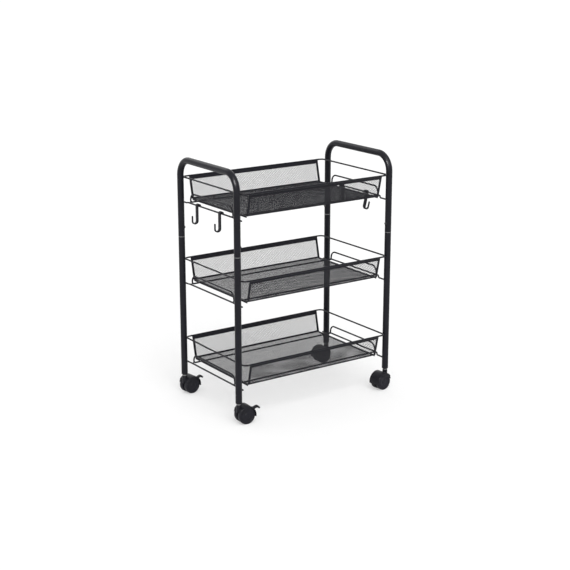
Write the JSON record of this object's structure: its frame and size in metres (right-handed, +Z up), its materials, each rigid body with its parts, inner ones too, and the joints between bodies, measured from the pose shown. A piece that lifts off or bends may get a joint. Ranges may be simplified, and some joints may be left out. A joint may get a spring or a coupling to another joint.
{
  "type": "utility cart",
  "caption": "Rolling utility cart: round tube frame with loop handles, open-ended wire and mesh baskets one above another, hanging hooks, and twin-wheel swivel casters, some with brakes.",
  "frame": {"origin": "on the floor, below the middle of the cart", "axes": "+Z up, +X along the length towards the end without brakes, +Y from the front to the back"},
  "size_m": [0.4654, 0.2924, 0.6043],
  "materials": {
    "black_powder_coat": "satin black powder coat",
    "black_mesh": "satin black powder coat on expanded mesh",
    "black_plastic": "moulded black plastic",
    "black_screw": "black coated screw",
    "plated_steel": "zinc plated steel",
    "caster_plastic": "moulded black plastic",
    "wheel_plastic": "moulded dark plastic wheel",
    "hook_coat": "satin black powder coat"
  },
  "bodies": {
    "frame": {"left_handle_tube": "black_powder_coat", "right_handle_tube": "black_powder_coat", "front_left_post": "black_powder_coat", "back_left_post": "black_powder_coat", "front_right_post": "black_powder_coat", "back_right_post": "black_powder_coat", "post_couplers": "plated_steel", "coupler_screws": "black_screw", "stem_sockets": "black_plastic", "caster_stems": "plated_steel", "bottom_rim_loop": "black_powder_coat", "bottom_cradle_wire": "black_powder_coat", "bottom_left_rail": "black_powder_coat", "bottom_right_rail": "black_powder_coat", "bottom_front_wall_frame": "black_powder_coat", "bottom_back_wall_frame": "black_powder_coat", "bottom_front_mesh": "black_mesh", "bottom_back_mesh": "black_mesh", "bottom_floor_mesh": "black_mesh", "middle_rim_loop": "black_powder_coat", "middle_cradle_wire": "black_powder_coat", "middle_left_rail": "black_powder_coat", "middle_right_rail": "black_powder_coat", "middle_front_wall_frame": "black_powder_coat", "middle_back_wall_frame": "black_powder_coat", "middle_front_mesh": "black_mesh", "middle_back_mesh": "black_mesh", "middle_floor_mesh": "black_mesh", "top_rim_loop": "black_powder_coat", "top_cradle_wire": "black_powder_coat", "top_left_rail": "black_powder_coat", "top_right_rail": "black_powder_coat", "top_front_wall_frame": "black_powder_coat", "top_back_wall_frame": "black_powder_coat", "top_front_mesh": "black_mesh", "top_back_mesh": "black_mesh", "top_floor_mesh": "black_mesh"},
    "front_left_caster": {"front_left_caster_hood": "caster_plastic", "front_left_caster_axle": "plated_steel"},
    "front_left_outer_wheel": {"front_left_outer_wheel": "wheel_plastic"},
    "front_left_inner_wheel": {"front_left_inner_wheel": "wheel_plastic"},
    "front_left_brake_lever": {"front_left_brake_lever": "caster_plastic"},
    "back_left_caster": {"back_left_caster_hood": "caster_plastic", "back_left_caster_axle": "plated_steel"},
    "back_left_outer_wheel": {"back_left_outer_wheel": "wheel_plastic"},
    "back_left_inner_wheel": {"back_left_inner_wheel": "wheel_plastic"},
    "back_left_brake_lever": {"back_left_brake_lever": "caster_plastic"},
    "front_right_caster": {"front_right_caster_hood": "caster_plastic", "front_right_caster_axle": "plated_steel"},
    "front_right_outer_wheel": {"front_right_outer_wheel": "wheel_plastic"},
    "front_right_inner_wheel": {"front_right_inner_wheel": "wheel_plastic"},
    "back_right_caster": {"back_right_caster_hood": "caster_plastic", "back_right_caster_axle": "plated_steel"},
    "back_right_outer_wheel": {"back_right_outer_wheel": "wheel_plastic"},
    "back_right_inner_wheel": {"back_right_inner_wheel": "wheel_plastic"},
    "left_front_hook": {"left_front_hook": "hook_coat"},
    "left_back_hook": {"left_back_hook": "hook_coat"},
    "right_front_hook": {"right_front_hook": "hook_coat"},
    "right_back_hook": {"right_back_hook": "hook_coat"}
  },
  "joints": [
    {"name": "front_left_swivel", "type": "hinge", "parent": "frame", "child": "front_left_caster", "pos_m": [-0.22, -0.125, 0.04785], "axis": [0, 0, 1], "continuous": true},
    {"name": "front_left_outer_wheel_spin", "type": "hinge", "parent": "front_left_caster", "child": "front_left_outer_wheel", "pos_m": [-0.20483, -0.12593, 0.021], "axis": [0.061, 0.9981, 0], "continuous": true},
    {"name": "front_left_inner_wheel_spin", "type": "hinge", "parent": "front_left_caster", "child": "front_left_inner_wheel", "pos_m": [-0.20483, -0.12593, 0.021], "axis": [0.061, 0.9981, 0], "continuous": true},
    {"name": "front_left_brake", "type": "hinge", "parent": "front_left_caster", "child": "front_left_brake_lever", "pos_m": [-0.18276, -0.12728, 0.03178], "axis": [0.061, 0.9981, 0], "range_deg": [0, 20]},
    {"name": "back_left_swivel", "type": "hinge", "parent": "frame", "child": "back_left_caster", "pos_m": [-0.22, 0.125, 0.04785], "axis": [0, 0, 1], "continuous": true},
    {"name": "back_left_outer_wheel_spin", "type": "hinge", "parent": "back_left_caster", "child": "back_left_outer_wheel", "pos_m": [-0.20491, 0.12685, 0.021], "axis": [-0.1219, 0.9925, 0], "continuous": true},
    {"name": "back_left_inner_wheel_spin", "type": "hinge", "parent": "back_left_caster", "child": "back_left_inner_wheel", "pos_m": [-0.20491, 0.12685, 0.021], "axis": [-0.1219, 0.9925, 0], "continuous": true},
    {"name": "back_left_brake", "type": "hinge", "parent": "back_left_caster", "child": "back_left_brake_lever", "pos_m": [-0.18297, 0.12955, 0.03178], "axis": [-0.1219, 0.9925, 0], "range_deg": [0, 20]},
    {"name": "front_right_swivel", "type": "hinge", "parent": "frame", "child": "front_right_caster", "pos_m": [0.22, -0.125, 0.04785], "axis": [0, 0, 1], "continuous": true},
    {"name": "front_right_outer_wheel_spin", "type": "hinge", "parent": "front_right_caster", "child": "front_right_outer_wheel", "pos_m": [0.20491, -0.12685, 0.021], "axis": [0.1219, -0.9925, 0], "continuous": true},
    {"name": "front_right_inner_wheel_spin", "type": "hinge", "parent": "front_right_caster", "child": "front_right_inner_wheel", "pos_m": [0.20491, -0.12685, 0.021], "axis": [0.1219, -0.9925, 0], "continuous": true},
    {"name": "back_right_swivel", "type": "hinge", "parent": "frame", "child": "back_right_caster", "pos_m": [0.22, 0.125, 0.04785], "axis": [0, 0, 1], "continuous": true},
    {"name": "back_right_outer_wheel_spin", "type": "hinge", "parent": "back_right_caster", "child": "back_right_outer_wheel", "pos_m": [0.20483, 0.12593, 0.021], "axis": [-0.061, -0.9981, 0], "continuous": true},
    {"name": "back_right_inner_wheel_spin", "type": "hinge", "parent": "back_right_caster", "child": "back_right_inner_wheel", "pos_m": [0.20483, 0.12593, 0.021], "axis": [-0.061, -0.9981, 0], "continuous": true},
    {"name": "left_front_hook_swing", "type": "hinge", "parent": "frame", "child": "left_front_hook", "pos_m": [-0.21445, -0.048, 0.4924], "axis": [0, 1, 0], "range_deg": [-60, 60]},
    {"name": "left_back_hook_swing", "type": "hinge", "parent": "frame", "child": "left_back_hook", "pos_m": [-0.21445, 0.053, 0.4924], "axis": [0, 1, 0], "range_deg": [-60, 60]},
    {"name": "right_front_hook_swing", "type": "hinge", "parent": "frame", "child": "right_front_hook", "pos_m": [0.21445, -0.043, 0.4924], "axis": [0, -1, 0], "range_deg": [-46, 74]},
    {"name": "right_back_hook_swing", "type": "hinge", "parent": "frame", "child": "right_back_hook", "pos_m": [0.21445, 0.057, 0.4924], "axis": [0, -1, 0], "range_deg": [-60, 60]}
  ]
}
